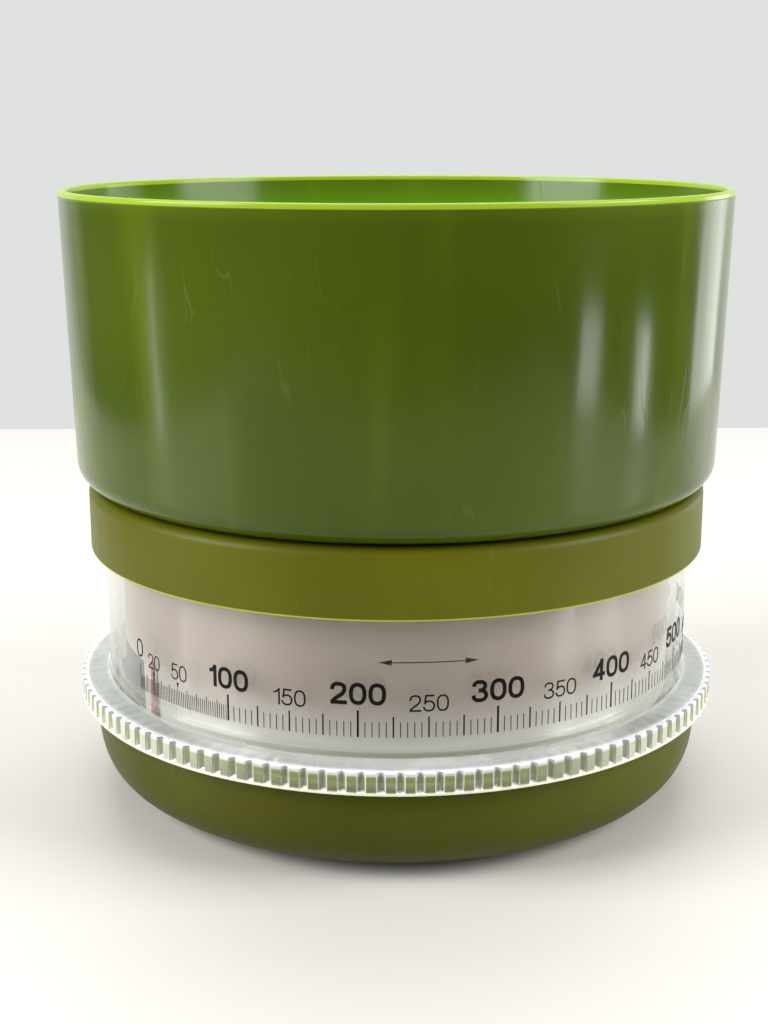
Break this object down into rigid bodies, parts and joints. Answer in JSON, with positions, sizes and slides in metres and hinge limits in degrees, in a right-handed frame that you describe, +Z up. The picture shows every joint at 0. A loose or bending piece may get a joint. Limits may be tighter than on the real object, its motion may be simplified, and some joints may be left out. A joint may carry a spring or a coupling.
{
  "type": "kitchen scale",
  "caption": "Round spring kitchen scale with a deep lift-off bowl, a sprung platform and a turning clear dial ring round a white drum with a red pointer.",
  "frame": {"origin": "middle of the footprint, on the table the feet stand on", "axes": "+Z up along the column, the dial and the bowl; -Y is the front, the side read from; +X is to the right seen from the front"},
  "size_m": [0.17, 0.17, 0.1552],
  "materials": {
    "bowl_green": "glossy moulded plastic",
    "olive_plastic": "satin moulded plastic",
    "clear_plastic": "clear polystyrene with a printed dial",
    "white_plastic": "white moulded plastic",
    "nylon": "natural moulded nylon",
    "red_plastic": "red moulded plastic",
    "rubber": "black rubber",
    "steel": "plated steel",
    "brass": "turned brass"
  },
  "bodies": {
    "base_body": {"base_housing": "olive_plastic", "foot_1": "rubber", "foot_2": "rubber", "foot_3": "rubber", "foot_4": "rubber", "guide_post": "steel", "post_screw_1": "steel", "post_screw_2": "steel", "post_screw_3": "steel", "lower_guide_bush": "nylon", "upper_guide_bush": "nylon", "buffer_ring": "rubber", "indicator_drum": "white_plastic", "guide_rod": "steel", "drum_nut": "brass", "spring_seat": "steel", "load_spring": "steel", "spindle_bracket": "steel", "bracket_screw_1": "steel", "bracket_screw_2": "steel", "spindle_top_bearing": "nylon", "spindle_floor_bearing": "nylon"},
    "platform_body": {"platform_cap": "olive_plastic", "platform_spider": "steel", "cap_screw_1": "steel", "cap_screw_2": "steel", "cap_screw_3": "steel", "column_screw": "steel", "load_column": "steel", "stop_clip": "steel", "carrier": "nylon", "carrier_pin": "steel", "drive_nut": "brass"},
    "bowl_body": {"bowl": "bowl_green"},
    "spindle_body": {"twisted_spindle": "steel", "spindle_gear": "nylon", "spindle_collar": "brass"},
    "pointer_body": {"hub_gear": "nylon", "pointer": "red_plastic"},
    "ring_body": {"scale_ring": "clear_plastic"}
  },
  "joints": [
    {"name": "platform_slide", "type": "slide", "parent": "base_body", "child": "platform_body", "axis": [0, 0, -1], "range_m": [0, 0.012], "stiffness_N_per_m": 1022, "springref_m": -0.0028, "deforming": ["load_spring"]},
    {"name": "bowl_lift", "type": "slide", "parent": "platform_body", "child": "bowl_body", "axis": [0, 0, 1], "range_m": [0, 0.08]},
    {"name": "spindle_turn", "type": "hinge", "parent": "base_body", "child": "spindle_body", "pos_m": [-0.03198, -0.0028, 0.045], "axis": [0, 0, 1], "range_deg": [-180, 0]},
    {"name": "pointer_turn", "type": "hinge", "parent": "base_body", "child": "pointer_body", "pos_m": [0, 0, 0.022], "axis": [0, 0, 1], "range_deg": [0, 300]},
    {"name": "ring_turn", "type": "hinge", "parent": "base_body", "child": "ring_body", "pos_m": [0, 0, 0.028], "axis": [0, 0, 1], "continuous": true}
  ],
  "couplings": [
    {"joint": "spindle_turn", "follows": "platform_slide", "rad_per_m": -261.8},
    {"joint": "pointer_turn", "follows": "platform_slide", "rad_per_m": 436.33}
  ]
}
